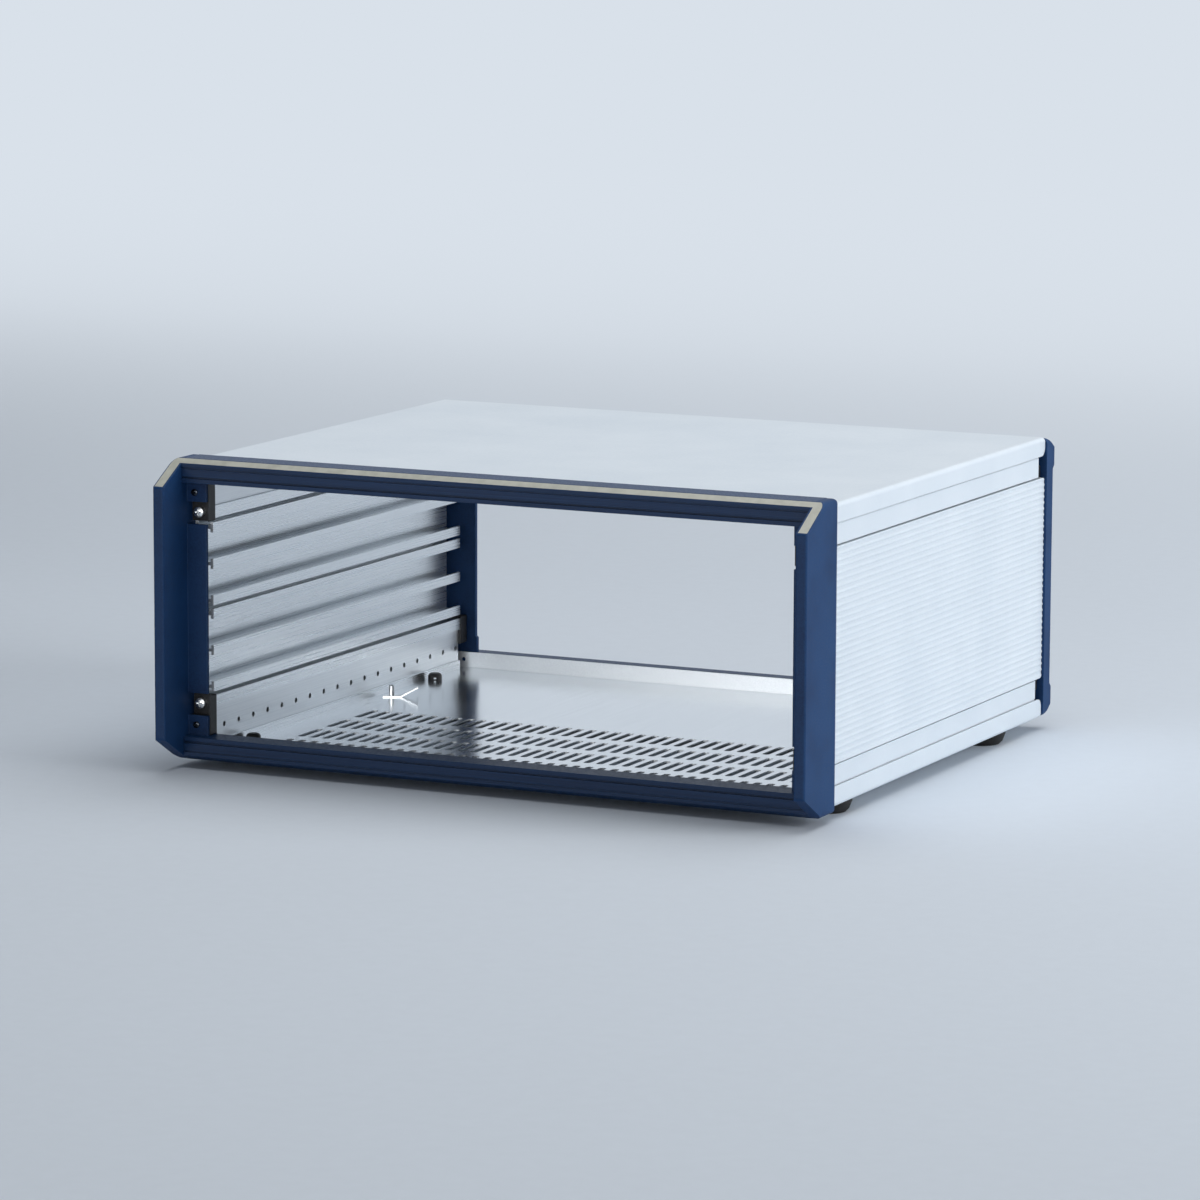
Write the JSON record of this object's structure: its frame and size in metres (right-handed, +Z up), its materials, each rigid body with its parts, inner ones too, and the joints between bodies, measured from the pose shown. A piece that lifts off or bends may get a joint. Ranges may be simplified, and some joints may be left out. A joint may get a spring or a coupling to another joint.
{
  "type": "eurocard case",
  "caption": "Desktop case for plug-in circuit cards: an open front bezel and rear frame joined by ribbed aluminium side walls, folded covers with vent slots, rubber feet.",
  "frame": {"origin": "on the table under the middle of the case, at the underside of the feet", "axes": "+X to the right seen from the front, +Y to the rear frame, +Z up"},
  "size_m": [0.47, 0.4274, 0.208],
  "materials": {
    "slate_moulding": "fine moulded grain",
    "slate_paint": "satin paint on extruded aluminium",
    "cream_trim": "satin",
    "black_plastic": "moulded",
    "zinc_steel": "bright zinc plated",
    "black_steel": "black zinc plated",
    "bare_aluminium": "mill finish extrusion",
    "pale_paint": "satin powder coat on aluminium",
    "black_rubber": "matte"
  },
  "bodies": {
    "root": {"left_front_cheek": "slate_moulding", "right_front_cheek": "slate_moulding", "left_rear_cheek": "slate_moulding", "right_rear_cheek": "slate_moulding", "front_top_rail": "slate_paint", "front_bottom_rail": "slate_paint", "rear_top_rail": "slate_paint", "rear_bottom_rail": "slate_paint", "front_trim_strip": "cream_trim", "upper_left_front_block": "black_plastic", "upper_right_front_block": "black_plastic", "lower_left_front_block": "black_plastic", "lower_right_front_block": "black_plastic", "upper_left_rear_block": "black_plastic", "upper_right_rear_block": "black_plastic", "lower_left_rear_block": "black_plastic", "lower_right_rear_block": "black_plastic", "front_left_plug": "black_plastic", "front_right_plug": "black_plastic", "rear_left_plug": "black_plastic", "rear_right_plug": "black_plastic", "front_corner_screws": "zinc_steel", "rear_corner_screws": "zinc_steel", "earth_terminal": "zinc_steel", "earth_stud": "zinc_steel", "front_flange_screws": "black_steel", "left_side_wall": "bare_aluminium", "right_side_wall": "bare_aluminium", "upper_left_strip": "bare_aluminium", "upper_right_strip": "bare_aluminium", "lower_left_strip": "bare_aluminium", "lower_right_strip": "bare_aluminium", "left_side_panel": "pale_paint", "right_side_panel": "pale_paint", "top_cover": "pale_paint", "bottom_cover": "pale_paint", "front_left_foot": "black_rubber", "front_right_foot": "black_rubber", "rear_left_foot": "black_rubber", "rear_right_foot": "black_rubber"}
  },
  "joints": []
}
